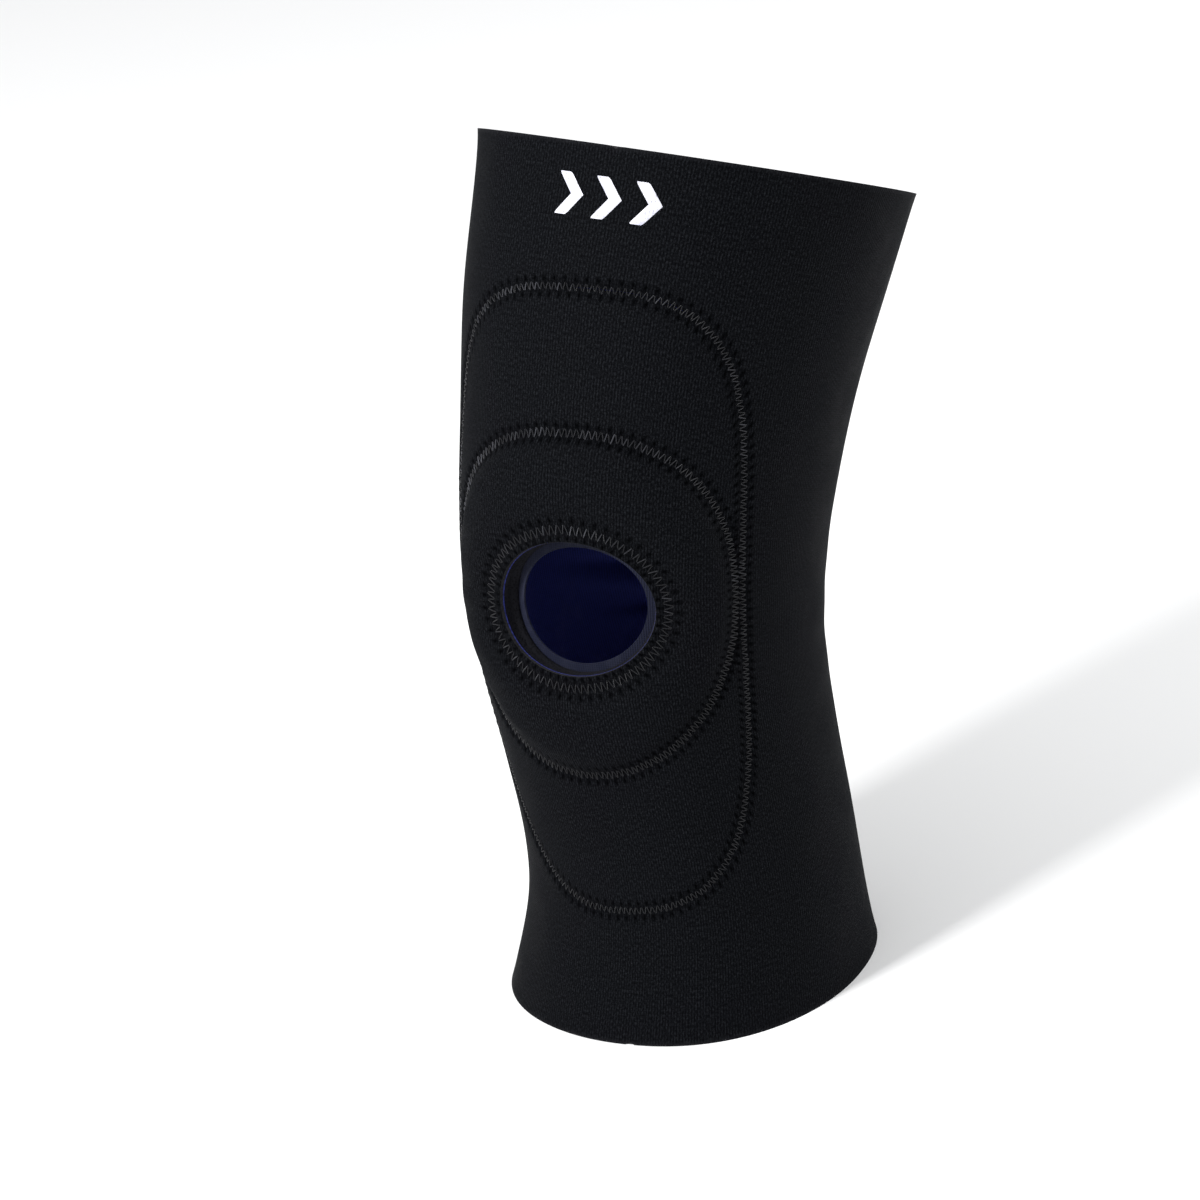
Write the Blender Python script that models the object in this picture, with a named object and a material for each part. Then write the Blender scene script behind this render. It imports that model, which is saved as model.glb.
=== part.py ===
"""Pull-on knee brace for a left knee: a sewn neoprene sleeve with an open patella and a buttress pad.

The sleeve is two laminated panels, a wrap and an oval front panel, butted and flatlock-stitched together.
It stands on its lower hem, with +Z up, the front of the knee towards -Y and the outer side towards +X.
Panels are drawn flat, in (across, up) coordinates measured from the middle of the patella opening, and are
then laid on a leg-shaped tube.
"""

import math

import bmesh
import bpy
import numpy as np
from mathutils import Vector

# Driving dimensions, in metres and radians.
SLEEVE_LENGTH = 0.304  # along the middle of the leg, hem to hem
KNEE_FLEX = math.radians(23)  # the thigh leans back from the calf
KNEE_LEAN = math.radians(8)  # and out to the side
BEND_START = 0.085  # distance along the leg where the bend begins
BEND_END = 0.205
SECTION_DEPTH_RATIO = 1.03  # front-to-back size of a leg section over its width
SECTION_SQUARENESS = 2.15  # exponent of the section's superellipse; 2 is an ellipse
LEG_STATIONS = (  # distance along the leg, half width there, sideways shift there
    (0.000, 0.0665, 0.0010),
    (0.045, 0.0600, 0.0060),
    (0.095, 0.0595, 0.0030),
    (0.145, 0.0640, -0.0035),
    (0.190, 0.0673, -0.0070),
    (0.240, 0.0720, -0.0085),
    (0.304, 0.0780, -0.0050),
)

OPENING_ABOVE_HEM = 0.1687  # along the front, lower hem to the middle of the opening
OPENING_SIDE_SHIFT = -0.0024
ROW_TILT = 0.08  # the outlines rise this much per metre across

# Outlines on the flat panel: superellipses about the middle of the opening. The two powers are for the upper
# and the lower half, where 2 is an ellipse. An outline is dropped as a whole, and leans sideways as it rises.
OPENING = {"half_width": 0.0315, "half_height": 0.0245, "powers": (2.0, 2.0), "drop": 0.0, "lean": 0.0}
PAD_SEAM = {"half_width": 0.0615, "half_height": 0.0630, "powers": (2.4, 2.05), "drop": 0.0, "lean": 0.0}
WINDOW = {"half_width": 0.0645, "half_height": 0.1155, "powers": (3.1, 2.7), "drop": 0.0015, "lean": -0.02}

FACE_THICKNESS = 0.0005
CORE_THICKNESS = 0.0028
LINING_THICKNESS = 0.0005
GAP = 0.0003  # between pieces that touch
PAD_GAP = 0.0006  # between the pad and the panel that it fills
LIP_WIDTH = 0.0025  # the pad's backing shows this far inside the opening
BACKING_MARGIN = 0.0012  # and reaches this far past the pad seam

SEAM_WIDTH = 0.0024
PAD_SEAM_INNER_RISE = 0.0005  # of the panel under the inner edge of the pad seam
OPENING_SEAM_WIDTH = 0.003
OPENING_SEAM_MARGIN = 0.0025  # from the opening's edge to its seam
BACK_SEAM_WIDTH = 0.003
BACK_SEAM_GAP = 0.0006  # under its needle thread, which runs straight across the curved back
NEEDLE_THREAD_HEIGHT = 0.0005
LOOPER_THREAD_HEIGHT = 0.0004
LOOPER_GAP = 0.0006

BADGE_BELOW_TOP_HEM = 0.0185
BADGE_HEIGHT = 0.015
BADGE_PITCH = 0.0125
BADGE_STROKE = 0.0042
BADGE_POINT = 0.005
BADGE_THICKNESS = 0.0003

HEM_STEPS = 18  # facets along each hem
SEAM_STEPS = 10  # facets along each edge of the back seam
WRAP_RINGS = 7
TABLE_STEPS = 304  # steps of the tables of lengths along the leg
HALF_TURN_STEPS = 180  # and round half of the knee
SHARP_EDGE = math.radians(35)

# Radial stops of the front panel: inner outline, outer outline, share of the way between them, and how far
# the panel bulges out there.
FRONT_STOPS = (
    ("opening", "pad_seam", 0.00, 0.0003),
    ("opening", "pad_seam", 0.22, 0.0006),
    ("opening", "pad_seam", 0.52, 0.0026),
    ("opening", "pad_seam", 0.80, 0.0021),
    ("opening", "pad_seam", 1.00, 0.0000),
    ("pad_seam", "window", 0.50, 0.0000),
    ("pad_seam", "window", 1.00, 0.0000),
)
# The pad's stops lie between neighbouring front stops: front stop, share of the way to the next, and the
# pad's thickness there.
PAD_STOPS = (
    (0, 0.15, 0.0040),
    (1, 0.00, 0.0044),
    (2, 0.00, 0.0050),
    (3, 0.00, 0.0040),
    (3, 0.60, 0.0010),
)

LAMINATE = FACE_THICKNESS + GAP + CORE_THICKNESS + GAP + LINING_THICKNESS


# ---- The leg-shaped tube -------------------------------------------------------------------------------


def ease(t):
    """0 to 1 with level ends."""
    t = min(max(t, 0.0), 1.0)
    return t * t * (3 - 2 * t)


def leg_direction(distance):
    """The way the leg runs at this distance along it."""
    share = ease((distance - BEND_START) / (BEND_END - BEND_START))
    flex = KNEE_FLEX * share
    lean = KNEE_LEAN * share
    return Vector((math.sin(lean) * math.cos(flex), math.sin(flex), math.cos(lean) * math.cos(flex)))


def leg_middle_line():
    """The leg's middle line, as points at equal steps of distance."""
    step = SLEEVE_LENGTH / TABLE_STEPS
    points = [Vector((0, 0, 0))]
    for i in range(TABLE_STEPS):
        points.append(points[-1] + leg_direction((i + 0.5) * step) * step)
    return np.array(points)


DISTANCES = np.linspace(0, SLEEVE_LENGTH, TABLE_STEPS + 1)
MIDDLE_LINE = leg_middle_line()


def station_value(column, distance):
    """A smooth value between the leg's stations, by a cubic Hermite curve."""
    stops = np.array([s[0] for s in LEG_STATIONS])
    values = np.array([s[column] for s in LEG_STATIONS])
    slopes = np.gradient(values, stops)
    i = int(np.clip(np.searchsorted(stops, distance) - 1, 0, len(stops) - 2))
    span = stops[i + 1] - stops[i]
    t = (distance - stops[i]) / span
    return (
        (2 * t**3 - 3 * t**2 + 1) * values[i]
        + (t**3 - 2 * t**2 + t) * span * slopes[i]
        + (3 * t**2 - 2 * t**3) * values[i + 1]
        + (t**3 - t**2) * span * slopes[i + 1]
    )


def signed_power(value, exponent):
    return math.copysign(abs(value) ** exponent, value)


def section_point(distance, angle, depth):
    """A point of the leg's section, by angle from the front and depth under the sleeve's outer face."""
    centre = Vector([np.interp(distance, DISTANCES, MIDDLE_LINE[:, k]) for k in range(3)])
    up = leg_direction(distance)
    across = (Vector((1, 0, 0)) - up * up.x).normalized()
    back = up.cross(across)
    half_width = station_value(1, distance)
    half_depth = half_width * SECTION_DEPTH_RATIO
    x = signed_power(math.sin(angle), 2 / SECTION_SQUARENESS) * (half_width - depth)
    y = -signed_power(math.cos(angle), 2 / SECTION_SQUARENESS) * (half_depth - depth)
    return centre + across * (x + station_value(2, distance)) + back * y


def front_line_lengths():
    """The length of the front line from the lower hem, at each of DISTANCES."""
    points = np.array([section_point(d, 0.0, 0.0) for d in DISTANCES])
    steps = np.linalg.norm(np.diff(points, axis=0), axis=1)
    return np.concatenate([[0.0], np.cumsum(steps)])


def half_section_lengths(distance, angles):
    """The length round the section from the front, at each of these angles."""
    points = np.array([section_point(distance, a, 0.0) for a in angles])
    steps = np.linalg.norm(np.diff(points, axis=0), axis=1)
    return np.concatenate([[0.0], np.cumsum(steps)])


FRONT_LENGTHS = front_line_lengths()
HALF_TURN = np.linspace(0, math.pi, HALF_TURN_STEPS + 1)
KNEE_LENGTHS = half_section_lengths(np.interp(OPENING_ABOVE_HEM, FRONT_LENGTHS, DISTANCES), HALF_TURN)
HALF_GIRTH = float(KNEE_LENGTHS[-1])  # at the knee; a panel is as wide as this in its flat coordinates
TOP_EDGE = float(FRONT_LENGTHS[-1]) - OPENING_ABOVE_HEM
BOTTOM_EDGE = -OPENING_ABOVE_HEM


def on_sleeve(flat, depth):
    """The place on the sleeve of a point of the flat panel, at this depth under the outer face."""
    across, up = flat
    distance = float(np.interp(up + OPENING_ABOVE_HEM, FRONT_LENGTHS, DISTANCES))
    angle = math.copysign(float(np.interp(abs(across), KNEE_LENGTHS, HALF_TURN)), across)
    return section_point(distance, angle, depth)


# ---- Outlines on the flat panel ------------------------------------------------------------------------


def panel_edge(back_gap=0.0):
    """The sleeve's own outline: lower hem, one side of the back seam, upper hem, the other side."""
    half = HALF_GIRTH - back_gap
    corners = [(-half, BOTTOM_EDGE), (half, BOTTOM_EDGE), (half, TOP_EDGE), (-half, TOP_EDGE)]
    steps = (HEM_STEPS, SEAM_STEPS, HEM_STEPS, SEAM_STEPS)
    points = []
    for k, count in enumerate(steps):
        (x0, y0), (x1, y1) = corners[k], corners[(k + 1) % 4]
        points += [(x0 + (x1 - x0) * i / count, y0 + (y1 - y0) * i / count) for i in range(count)]
    return points


RAYS = [math.atan2(y, x - OPENING_SIDE_SHIFT) for x, y in panel_edge()]


def oval(outline, grow=0.0):
    """The outline with a point on each ray, grown outwards by grow."""
    points = []
    for ray in RAYS:
        power = outline["powers"][0] if math.sin(ray) > 0 else outline["powers"][1]
        wide = abs(math.cos(ray) / outline["half_width"]) ** power
        high = abs(math.sin(ray) / outline["half_height"]) ** power
        radius = (wide + high) ** (-1 / power) + grow
        x = radius * math.cos(ray)
        y = radius * math.sin(ray)
        points.append((OPENING_SIDE_SHIFT + x + outline["lean"] * y, y - outline["drop"] + ROW_TILT * x))
    return points


def between(inner, outer, share):
    """The outline this share of the way from one outline to another."""
    return [(a[0] + (b[0] - a[0]) * share, a[1] + (b[1] - a[1]) * share) for a, b in zip(inner, outer)]


def front_outlines():
    """The front panel's outlines from the opening to the window, and the panel's bulge at each."""
    named = {"opening": oval(OPENING), "pad_seam": oval(PAD_SEAM), "window": oval(WINDOW, -GAP / 2)}
    outlines = [between(named[a], named[b], share) for a, b, share, _ in FRONT_STOPS]
    return outlines, [stop[3] for stop in FRONT_STOPS]


def wrap_outlines():
    """The wrap's outlines from the window to the hems and the back seam."""
    inner = oval(WINDOW, GAP / 2)
    outer = panel_edge(GAP / 2)
    return [between(inner, outer, k / WRAP_RINGS) for k in range(WRAP_RINGS + 1)]


def at_front_stop(stop, share):
    """The outline part way from one of the front panel's stops to the next, and the bulge there."""
    outlines, bulges = front_outlines()
    if share == 0:
        return outlines[stop], bulges[stop]
    bulge = bulges[stop] + (bulges[stop + 1] - bulges[stop]) * share
    return between(outlines[stop], outlines[stop + 1], share), bulge


# ---- Solids --------------------------------------------------------------------------------------------


def fabric(name, colour, roughness):
    material = bpy.data.materials.new(name)
    material.use_nodes = True
    shader = material.node_tree.nodes["Principled BSDF"]
    shader.inputs["Base Color"].default_value = (*colour, 1.0)
    shader.inputs["Roughness"].default_value = roughness
    return material


def add_object(name, mesh, material, parent):
    mesh.materials.append(material)
    mesh.shade_smooth()
    mesh.set_sharp_from_angle(angle=SHARP_EDGE)
    obj = bpy.data.objects.new(name, mesh)
    obj.parent = parent
    bpy.context.scene.collection.objects.link(obj)


def grid_faces(bm, rows, closed):
    """Triangles between neighbouring rows of points, all cut along the same diagonal so that plies nest."""
    count = len(rows[0])
    for low, high in zip(rows, rows[1:]):
        for i in range(count if closed else count - 1):
            j = (i + 1) % count
            bm.faces.new([low[i], low[j], high[j]])
            bm.faces.new([low[i], high[j], high[i]])


def finished_mesh(bm, name):
    bmesh.ops.recalc_face_normals(bm, faces=bm.faces)
    mesh = bpy.data.meshes.new(name)
    bm.to_mesh(mesh)
    bm.free()
    return mesh


def laid_solid(name, outlines, outer_depths, inner_depths, closed, material, parent):
    """A solid sheet laid on the sleeve: rows of flat points, with the depth of both faces at each row."""
    bm = bmesh.new()
    outer = [[bm.verts.new(on_sleeve(p, d)) for p in row] for row, d in zip(outlines, outer_depths)]
    inner = [[bm.verts.new(on_sleeve(p, d)) for p in row] for row, d in zip(outlines, inner_depths)]
    grid_faces(bm, outer, closed)
    grid_faces(bm, inner, closed)
    grid_faces(bm, [inner[0], outer[0]], closed)
    grid_faces(bm, [outer[-1], inner[-1]], closed)
    if not closed:
        for end in (0, -1):
            grid_faces(bm, [[row[end] for row in outer], [row[end] for row in inner]], closed)
    add_object(name, finished_mesh(bm, name), material, parent)


def ply(name, outlines, bulges, start, thickness, material, parent):
    """One ply of a panel: a ring of even thickness that starts at this depth and follows the bulges."""
    outer_depths = [start - bulge for bulge in bulges]
    inner_depths = [depth + thickness for depth in outer_depths]
    laid_solid(name, outlines, outer_depths, inner_depths, True, material, parent)


def build_panel(prefix, outlines, bulges, materials, parent):
    """The three bonded plies of one panel."""
    core_start = FACE_THICKNESS + GAP
    lining_start = core_start + CORE_THICKNESS + GAP
    ply(f"{prefix}_face", outlines, bulges, 0.0, FACE_THICKNESS, materials["face"], parent)
    ply(f"{prefix}_core", outlines, bulges, core_start, CORE_THICKNESS, materials["core"], parent)
    ply(f"{prefix}_lining", outlines, bulges, lining_start, LINING_THICKNESS, materials["lining"], parent)


def pad_section():
    """The pad's outlines with the depths of its two faces."""
    outlines, tops, bottoms = [], [], []
    for stop, share, thickness in PAD_STOPS:
        outline, bulge = at_front_stop(stop, share)
        outlines.append(outline)
        tops.append(LAMINATE + PAD_GAP - bulge)
        bottoms.append(tops[-1] + thickness)
    return outlines, tops, bottoms


def build_pad(material, parent):
    outlines, tops, bottoms = pad_section()
    laid_solid("patella_buttress_pad", outlines, tops, bottoms, True, material, parent)


def backing_section():
    """The backing's outlines, from its lip inside the opening to past the pad seam, with its outer depths."""
    outlines, _, pad_bottoms = pad_section()
    under_pad = [depth + GAP for depth in pad_bottoms]
    rows = [oval(OPENING, -LIP_WIDTH), *outlines[:-1], oval(PAD_SEAM), oval(PAD_SEAM, BACKING_MARGIN)]
    return rows, [under_pad[0], *under_pad[:-1], LAMINATE + GAP, LAMINATE + GAP]


def build_backing(material, parent):
    rows, depths = backing_section()
    inner_depths = [depth + LINING_THICKNESS for depth in depths]
    laid_solid("pad_backing", rows, depths, inner_depths, True, material, parent)


def build_ring_thread(name, inner, outer, heights, thickness, material, parent):
    """A sewn ring: inner and outer outline, each with its height above the outer face, negative inside."""
    far = [-height - thickness for height in heights]
    near = [-height for height in heights]
    laid_solid(name, [inner, outer], far, near, True, material, parent)


def build_needle_ring(name, inner, outer, heights, materials, parent):
    """The needle thread of a seam, on the outer face."""
    build_ring_thread(name, inner, outer, heights, NEEDLE_THREAD_HEIGHT, materials["thread"], parent)


def build_looper_ring(name, inner, outer, depth, materials, parent):
    """The looper thread of a seam, on the inside, at this depth under the outer face."""
    height = -(depth + LOOPER_THREAD_HEIGHT)
    build_ring_thread(name, inner, outer, [height, height], LOOPER_THREAD_HEIGHT, materials["looper"], parent)


def build_window_threads(materials, parent):
    inner = oval(WINDOW, -SEAM_WIDTH / 2)
    outer = oval(WINDOW, SEAM_WIDTH / 2)
    build_needle_ring("window_seam_needle_thread", inner, outer, [GAP, GAP], materials, parent)
    build_looper_ring("window_seam_looper_thread", inner, outer, LAMINATE + LOOPER_GAP, materials, parent)


def build_pad_threads(materials, parent):
    inner = oval(PAD_SEAM, -SEAM_WIDTH / 2)
    outer = oval(PAD_SEAM, SEAM_WIDTH / 2)
    heights = [PAD_SEAM_INNER_RISE + GAP, GAP]
    build_needle_ring("pad_seam_needle_thread", inner, outer, heights, materials, parent)
    inside = LAMINATE + GAP + LINING_THICKNESS + LOOPER_GAP
    middle = oval(PAD_SEAM)
    edge = oval(PAD_SEAM, BACKING_MARGIN)
    build_looper_ring("pad_seam_looper_thread", middle, edge, inside, materials, parent)


def build_opening_threads(materials, parent):
    inner = oval(OPENING, OPENING_SEAM_MARGIN)
    outer = oval(OPENING, OPENING_SEAM_MARGIN + OPENING_SEAM_WIDTH)
    height = FRONT_STOPS[1][3] + GAP
    build_needle_ring("opening_seam_needle_thread", inner, outer, [height, height], materials, parent)
    _, backing_depths = backing_section()
    inside = max(backing_depths) + LINING_THICKNESS + GAP
    build_looper_ring("opening_seam_looper_thread", inner, outer, inside, materials, parent)


def build_back_seam_thread(name, near_depth, far_depth, material, parent):
    """A strip along the back seam, from just above the lower hem to just below the upper one."""
    ups = np.linspace(BOTTOM_EDGE + BACK_SEAM_WIDTH, TOP_EDGE - BACK_SEAM_WIDTH, SEAM_STEPS * 2 + 1)
    side = HALF_GIRTH - BACK_SEAM_WIDTH / 2
    bm = bmesh.new()
    rows = []
    for up in ups:
        corners = [(side, far_depth), (-side, far_depth), (-side, near_depth), (side, near_depth)]
        rows.append([bm.verts.new(on_sleeve((across, up), depth)) for across, depth in corners])
    grid_faces(bm, rows, closed=True)
    bm.faces.new(rows[0])
    bm.faces.new(rows[-1])
    add_object(name, finished_mesh(bm, name), material, parent)


def build_back_threads(materials, parent):
    outside = -BACK_SEAM_GAP
    thread = materials["thread"]
    build_back_seam_thread("back_seam_needle_thread", outside, outside - NEEDLE_THREAD_HEIGHT, thread, parent)
    inside = LAMINATE + LOOPER_GAP
    looper = materials["looper"]
    build_back_seam_thread("back_seam_looper_thread", inside, inside + LOOPER_THREAD_HEIGHT, looper, parent)


def build_badge(material, parent):
    """Three plain printed chevrons on the front, below the upper hem."""
    middle = TOP_EDGE - BADGE_BELOW_TOP_HEM
    rows_up = (-BADGE_HEIGHT / 2, 0.0, BADGE_HEIGHT / 2)
    for k, name in enumerate(("inner", "middle", "outer")):
        shift = (k - 1) * BADGE_PITCH
        rows = []
        for up in rows_up:
            tip = shift + BADGE_POINT * (1 - abs(up) / (BADGE_HEIGHT / 2)) - BADGE_POINT / 2
            rows.append([(tip - BADGE_STROKE / 2, middle + up), (tip + BADGE_STROKE / 2, middle + up)])
        far = [-GAP - BADGE_THICKNESS] * len(rows)
        near = [-GAP] * len(rows)
        laid_solid(f"badge_chevron_{name}", rows, far, near, False, material, parent)


def clear_scene():
    for obj in list(bpy.data.objects):
        bpy.data.objects.remove(obj, do_unlink=True)


def stand_on_origin(root):
    """Moves the whole brace so that the middle of its footprint box is at the origin."""
    corners = [Vector(corner) for obj in root.children for corner in obj.bound_box]
    root.location.x = -(min(c.x for c in corners) + max(c.x for c in corners)) / 2
    root.location.y = -(min(c.y for c in corners) + max(c.y for c in corners)) / 2


def main():
    clear_scene()
    materials = {
        "face": fabric("black_nylon_face", (0.006, 0.006, 0.008), 0.75),
        "core": fabric("neoprene_core", (0.012, 0.012, 0.013), 0.9),
        "lining": fabric("blue_nylon_lining", (0.035, 0.045, 0.24), 0.8),
        "pad": fabric("pad_foam", (0.03, 0.03, 0.035), 0.9),
        "thread": fabric("black_thread", (0.012, 0.012, 0.014), 0.45),
        "looper": fabric("looper_thread", (0.012, 0.012, 0.014), 0.6),
        "print": fabric("silver_print", (0.62, 0.62, 0.66), 0.5),
    }
    root = bpy.data.objects.new("knee_brace", None)
    bpy.context.scene.collection.objects.link(root)
    wrap = wrap_outlines()
    build_panel("wrap", wrap, [0.0] * len(wrap), materials, root)
    front, bulges = front_outlines()
    build_panel("front", front, bulges, materials, root)
    build_pad(materials["pad"], root)
    build_backing(materials["lining"], root)
    build_window_threads(materials, root)
    build_pad_threads(materials, root)
    build_opening_threads(materials, root)
    build_back_threads(materials, root)
    build_badge(materials["print"], root)
    stand_on_origin(root)


main()
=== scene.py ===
"""The looks of the pull-on knee brace: laminate panels, stitches, buttress pad, print, light and camera.

The panels are drawn flat, in (across, up) metres from the middle of the patella opening, and are laid on
the same leg-shaped tube as the CAD solids that they stand for. Depth is measured inwards from the outer face.
"""

import math

import bpy
import numpy as np
from mathutils import Matrix, Vector


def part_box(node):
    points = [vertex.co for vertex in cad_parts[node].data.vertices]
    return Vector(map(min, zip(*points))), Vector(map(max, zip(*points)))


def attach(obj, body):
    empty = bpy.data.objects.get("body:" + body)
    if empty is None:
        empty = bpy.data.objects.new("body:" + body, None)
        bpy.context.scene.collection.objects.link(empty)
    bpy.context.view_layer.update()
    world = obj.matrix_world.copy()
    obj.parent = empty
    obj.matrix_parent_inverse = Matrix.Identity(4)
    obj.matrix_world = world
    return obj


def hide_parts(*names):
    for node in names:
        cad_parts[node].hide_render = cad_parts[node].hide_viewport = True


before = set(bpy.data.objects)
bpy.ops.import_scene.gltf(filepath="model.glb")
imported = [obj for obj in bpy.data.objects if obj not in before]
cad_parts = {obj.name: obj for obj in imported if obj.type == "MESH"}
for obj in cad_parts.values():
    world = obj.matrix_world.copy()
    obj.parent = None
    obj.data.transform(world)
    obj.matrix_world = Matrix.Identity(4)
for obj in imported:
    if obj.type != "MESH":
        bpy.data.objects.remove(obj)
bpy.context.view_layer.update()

MM = 0.001

# The leg-shaped tube, as the CAD has it.
SLEEVE_LENGTH = 0.304
KNEE_FLEX = math.radians(23)
KNEE_LEAN = math.radians(8)
BEND_START = 0.085
BEND_END = 0.205
SECTION_DEPTH_RATIO = 1.03
SECTION_SQUARENESS = 2.15
LEG_STATIONS = np.array(
    [  # distance along the leg, half width there, sideways shift there
        (0.000, 0.0665, 0.0010),
        (0.045, 0.0600, 0.0060),
        (0.095, 0.0595, 0.0030),
        (0.145, 0.0640, -0.0035),
        (0.190, 0.0673, -0.0070),
        (0.240, 0.0720, -0.0085),
        (0.304, 0.0780, -0.0050),
    ]
)

# The outlines on the flat panels, as the CAD has them.
OPENING_ABOVE_HEM = 0.1687
OPENING_SIDE_SHIFT = -0.0024
OPENING = {"half_width": 0.0315, "half_height": 0.0245, "powers": (2.0, 2.0), "drop": 0.0, "lean": 0.0}
PAD_SEAM = {"half_width": 0.0615, "half_height": 0.0630, "powers": (2.4, 2.05), "drop": 0.0, "lean": 0.0}
WINDOW = {"half_width": 0.0645, "half_height": 0.1155, "powers": (3.1, 2.7), "drop": 0.0015, "lean": -0.02}
ROW_TILT = 0.08

# The laminate and the pad.
FACE = 0.5 * MM
LINING = 0.5 * MM
LAMINATE = 4.4 * MM
EDGE_LAMINATE = 2.3 * MM  # pressed thin along the opening
PRESSED_WIDTH = 4.5 * MM
BULGE = 3.6 * MM
PUFF_PART = 0.42  # of the bulge that comes from the cover's own puffing
PAD_DEPTH = 9.3 * MM  # of the pad's inner side, where it is thickest
PAD_EDGE_DEPTH = 5.4 * MM
LIP_WIDTH = 2.6 * MM
BACKING = 0.7 * MM
BACKING_MARGIN = 1.2 * MM
PAD_SEAM_REACH = 5 * MM  # over which the backing comes up from the pad to the laminate

# Seams.
PANEL_GAP = 0.12 * MM
OPENING_SEAM_OFFSET = 4.4 * MM  # from the opening's edge to the middle of its seam
CHANNEL_WIDTH = 2.3 * MM
PUCKER_OFFSET = 3.1 * MM
PUCKER_PITCH = 3.7 * MM
THREAD_RADIUS = 0.23 * MM
UNEVEN_STITCH = 0.16 * MM
SEAM_HELD = 1.2 * MM  # how far inside its line a seam still holds the cloth
LEG_POINTS = 8  # points of a thread's centre line between two needle holes
ARCH_POWER = 0.75
SUNK = 0.70 * MM  # a thread's depth in the cloth at a needle hole
STANDING = 0.33 * MM  # and its height over the cloth between two holes
BACK_PITCH = 2.7 * MM
BACK_SWING = 1.7 * MM  # of the back seam's threads, to each side
BACK_MARGIN = 1.5 * MM  # from the hems to the ends of the back seam

# The printed chevrons.
BADGE_BELOW_TOP_HEM = 0.0185
BADGE_HEIGHT = 0.015
BADGE_PITCH = 0.0125
BADGE_STROKE = 0.0042
BADGE_POINT = 0.005
BADGE_THICKNESS = 0.22 * MM

# The face's knit, in millimetres.
WALE = 1.05  # width of one rib
COURSE = 0.8  # height of one loop

# Creases behind the knee: middle height, where they fade out to the sides, half height, wander and sway.
FOLDS = (
    (-4 * MM, 0.66, 3.6 * MM, 1.5 * MM, 0.4),
    (-15 * MM, 0.58, 4.0 * MM, 2.2 * MM, -0.5),
    (-27 * MM, 0.62, 4.4 * MM, 1.8 * MM, 0.9),
    (-40 * MM, 0.72, 3.8 * MM, 2.6 * MM, -1.1),
    (11 * MM, 0.76, 4.2 * MM, 2.0 * MM, 1.3),
)

# Mesh density.
HEM_STEPS = 270
SIDE_STEPS = 180
TABLE_STEPS = 608
OUTLINE_RAYS = 1441
SHARP_EDGE = math.radians(55)


# ---- The leg-shaped tube, on arrays --------------------------------------------------------------------


def ease(t):
    t = np.clip(t, 0.0, 1.0)
    return t * t * (3 - 2 * t)


def leg_directions(distances):
    """The way the leg runs at each distance along it."""
    share = ease((distances - BEND_START) / (BEND_END - BEND_START))
    flex, lean = KNEE_FLEX * share, KNEE_LEAN * share
    return np.stack([np.sin(lean) * np.cos(flex), np.sin(flex), np.cos(lean) * np.cos(flex)], axis=-1)


def leg_middle_line():
    step = SLEEVE_LENGTH / TABLE_STEPS
    middles = (np.arange(TABLE_STEPS) + 0.5) * step
    return np.concatenate([np.zeros((1, 3)), np.cumsum(leg_directions(middles) * step, axis=0)])


DISTANCES = np.linspace(0, SLEEVE_LENGTH, TABLE_STEPS + 1)
MIDDLE_LINE = leg_middle_line()


def station_values(column, distances):
    """A smooth value between the leg's stations, by a cubic Hermite curve."""
    stops, values = LEG_STATIONS[:, 0], LEG_STATIONS[:, column]
    slopes = np.gradient(values, stops)
    i = np.clip(np.searchsorted(stops, distances) - 1, 0, len(stops) - 2)
    span = stops[i + 1] - stops[i]
    t = (distances - stops[i]) / span
    return (
        (2 * t**3 - 3 * t**2 + 1) * values[i]
        + (t**3 - 2 * t**2 + t) * span * slopes[i]
        + (3 * t**2 - 2 * t**3) * values[i + 1]
        + (t**3 - t**2) * span * slopes[i + 1]
    )


def signed_power(values, exponent):
    return np.sign(values) * np.abs(values) ** exponent


def section_points(distances, angles, depths):
    """Points on the leg's sections, by angle from the front and depth under the outer face."""
    centres = np.stack([np.interp(distances, DISTANCES, MIDDLE_LINE[:, k]) for k in range(3)], axis=-1)
    up = leg_directions(distances)
    across = np.array([1.0, 0.0, 0.0]) - up * up[..., :1]
    across /= np.linalg.norm(across, axis=-1, keepdims=True)
    back = np.cross(up, across)
    half_width = station_values(1, distances)
    power = 2 / SECTION_SQUARENESS
    x = signed_power(np.sin(angles), power) * (half_width - depths) + station_values(2, distances)
    y = -signed_power(np.cos(angles), power) * (half_width * SECTION_DEPTH_RATIO - depths)
    return centres + across * x[..., None] + back * y[..., None]


def path_lengths(points):
    steps = np.linalg.norm(np.diff(points, axis=0), axis=1)
    return np.concatenate([[0.0], np.cumsum(steps)])


FRONT_LENGTHS = path_lengths(section_points(DISTANCES, np.zeros_like(DISTANCES), np.zeros_like(DISTANCES)))
HALF_TURN = np.linspace(0, math.pi, 361)
KNEE_DISTANCE = np.full_like(HALF_TURN, np.interp(OPENING_ABOVE_HEM, FRONT_LENGTHS, DISTANCES))
KNEE_LENGTHS = path_lengths(section_points(KNEE_DISTANCE, HALF_TURN, np.zeros_like(HALF_TURN)))
HALF_GIRTH = KNEE_LENGTHS[-1]
TOP_EDGE = FRONT_LENGTHS[-1] - OPENING_ABOVE_HEM
BOTTOM_EDGE = -OPENING_ABOVE_HEM


def frame_offset():
    """From the leg's own axes to the frame's: the CAD stands with its footprint box centred on the origin."""
    low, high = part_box("wrap_face")
    turn = np.linspace(-math.pi, math.pi, 721)
    rings = [section_points(np.full_like(turn, d), turn, np.zeros_like(turn)) for d in DISTANCES[::8]]
    points = np.concatenate(rings)
    middle = (points.min(axis=0) + points.max(axis=0)) / 2
    return np.array([(low.x + high.x) / 2 - middle[0], (low.y + high.y) / 2 - middle[1], low.z])


OFFSET = frame_offset()


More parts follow.
